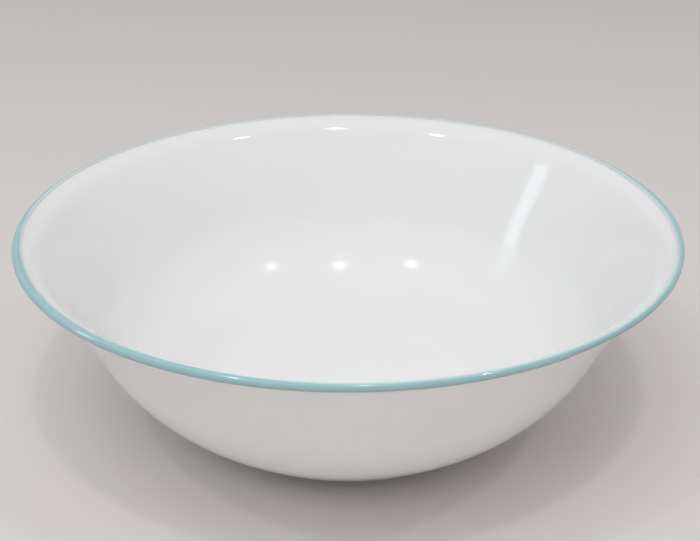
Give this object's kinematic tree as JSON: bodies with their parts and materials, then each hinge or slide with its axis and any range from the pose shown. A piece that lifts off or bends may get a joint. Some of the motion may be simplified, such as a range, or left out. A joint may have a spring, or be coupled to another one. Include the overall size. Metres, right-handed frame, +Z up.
{
  "type": "serving bowl",
  "caption": "Wide round serving bowl of laminated white opal glass, with a low foot, a swelling wall, a flared lip and a turquoise enamel rim.",
  "frame": {"origin": "on the bowl's axis, in the plane of the foot that it stands on", "axes": "+Z up along the bowl's axis, out of its mouth; X and Y in the plane of the foot"},
  "size_m": [0.26, 0.26, 0.085],
  "materials": {
    "opal_glass": "gloss",
    "clear_glass_outside": "gloss",
    "clear_glass_inside": "gloss",
    "turquoise_enamel": "gloss"
  },
  "bodies": {
    "root": {"glass_core": "opal_glass", "foot_skin": "clear_glass_outside", "outer_skin": "clear_glass_outside", "inner_skin": "clear_glass_inside", "rim_band": "turquoise_enamel"}
  },
  "joints": []
}
